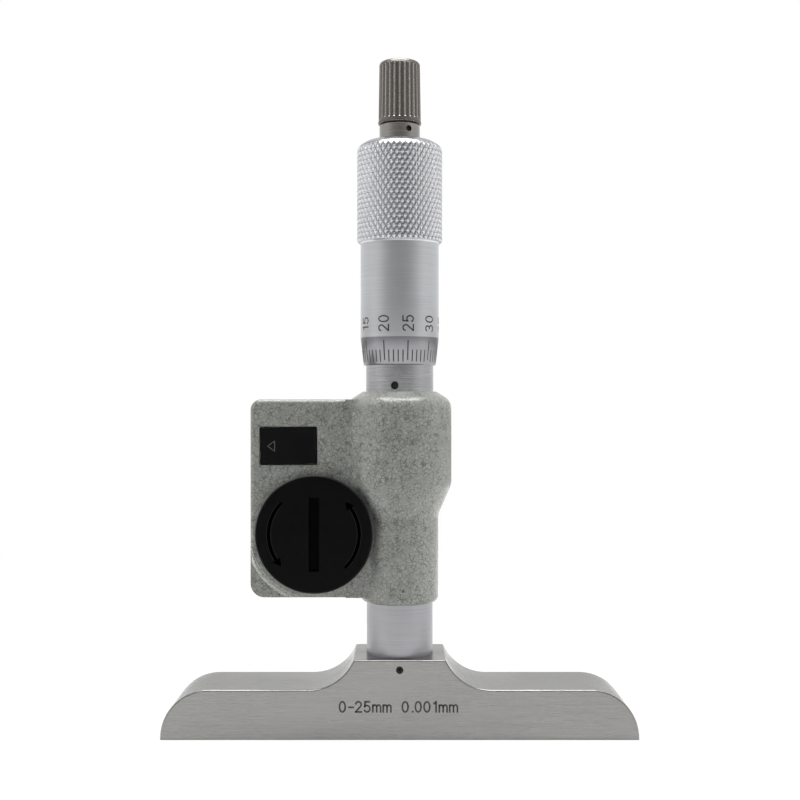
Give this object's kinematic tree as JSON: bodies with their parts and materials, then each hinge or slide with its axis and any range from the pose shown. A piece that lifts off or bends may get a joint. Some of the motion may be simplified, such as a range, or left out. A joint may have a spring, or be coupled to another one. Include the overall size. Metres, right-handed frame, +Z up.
{
  "type": "depth gauge",
  "caption": "Depth micrometer head with a flat lapped base bar, screw-fed rod and thimble, ratchet knob and a die-cast display housing with battery and data port covers.",
  "frame": {"origin": "on the spindle axis, at the base bar's lapped lower face", "axes": "+Z up along the spindle, +X along the base bar away from the display housing, -Y the battery side, +Y the display side"},
  "size_m": [0.1014, 0.0226, 0.1458],
  "materials": {
    "ground_steel": "ground and lapped, fine brushed grain",
    "dark_screw": "black oxide",
    "satin_chrome": "satin chrome plate",
    "inner_steel": "turned steel",
    "bronze_bush": "turned bronze",
    "hammertone": "grey-green hammertone enamel",
    "circuit": "solder-masked board",
    "display": "liquid crystal display",
    "clear_window": "clear window",
    "black_panel": "fine matt grain",
    "key_cap": "soft satin",
    "key_rubber": "silicone rubber",
    "cell": "nickel-plated can",
    "contact": "sprung brass",
    "black_cover": "moulded, fine matt",
    "seal_rubber": "soft rubber",
    "dark_knob": "dark anodised, satin"
  },
  "bodies": {
    "frame": {"base": "ground_steel", "base_set_screw": "dark_screw", "stem_tube": "satin_chrome", "guide_bush": "bronze_bush", "housing": "hammertone", "stem_lock_screw": "hammertone", "inner_sleeve": "inner_steel", "adjusting_nut": "inner_steel", "encoder_stator": "circuit", "main_board": "circuit", "lcd_module": "display", "lcd_window": "clear_window", "display_bezel": "black_panel", "button_mat": "key_rubber", "battery": "cell", "battery_contact_spring": "contact", "battery_contact_clip": "contact", "data_socket": "black_panel"},
    "sleeve": {"graduated_sleeve": "satin_chrome"},
    "rotor": {"encoder_rotor": "circuit", "rotor_bush": "bronze_bush", "drive_key": "inner_steel"},
    "spindle": {"spindle": "inner_steel", "thimble": "satin_chrome", "measuring_rod": "inner_steel", "rod_head_nut": "inner_steel", "rod_lock_nut": "inner_steel", "ratchet_collar": "dark_knob", "ratchet_disc": "inner_steel", "ratchet_spring": "inner_steel", "ratchet_screw": "inner_steel"},
    "knob": {"ratchet_knob": "dark_knob"},
    "seal": {"battery_seal": "seal_rubber"},
    "battery_lid": {"battery_cover": "black_cover"},
    "port_lid": {"port_cover": "black_cover"},
    "power_key": {"button_power": "key_cap"},
    "zero_key": {"button_zero": "key_cap"},
    "unit_key": {"button_unit": "key_cap"}
  },
  "joints": [
    {"name": "sleeve_zero_set", "type": "hinge", "parent": "frame", "child": "sleeve", "pos_m": [0, 0, 0.087], "axis": [0, 0, 1], "range_deg": [-15, 15]},
    {"name": "thimble_spin", "type": "hinge", "parent": "frame", "child": "rotor", "pos_m": [0, 0, 0.059], "axis": [0, 0, 1], "range_deg": [-3600.01, 14400.01]},
    {"name": "spindle_feed", "type": "slide", "parent": "rotor", "child": "spindle", "axis": [0, 0, 1], "range_m": [-0.005, 0.02]},
    {"name": "ratchet_spin", "type": "hinge", "parent": "spindle", "child": "knob", "pos_m": [0, 0, 0.139], "axis": [0, 0, 1], "continuous": true},
    {"name": "battery_cover_lift", "type": "slide", "parent": "frame", "child": "seal", "axis": [0, -1, 0], "range_m": [0, 0.002]},
    {"name": "battery_cover_turn", "type": "hinge", "parent": "seal", "child": "battery_lid", "pos_m": [-0.0182, -0.0061, 0.0434], "axis": [0, -1, 0], "range_deg": [0, 720]},
    {"name": "port_cover_pull", "type": "slide", "parent": "frame", "child": "port_lid", "axis": [0, -1, 0], "range_m": [0, 0.006]},
    {"name": "power_press", "type": "slide", "parent": "frame", "child": "power_key", "axis": [0, -1, 0], "range_m": [0, 0.0004], "stiffness_N_per_m": 400},
    {"name": "zero_press", "type": "slide", "parent": "frame", "child": "zero_key", "axis": [0, -1, 0], "range_m": [0, 0.0004], "stiffness_N_per_m": 400},
    {"name": "unit_press", "type": "slide", "parent": "frame", "child": "unit_key", "axis": [0, -1, 0], "range_m": [0, 0.0004], "stiffness_N_per_m": 400}
  ],
  "couplings": [
    {"joint": "thimble_spin", "follows": "spindle_feed", "rad_per_m": 12566},
    {"joint": "battery_cover_turn", "follows": "battery_cover_lift", "rad_per_m": 6283.2}
  ]
}
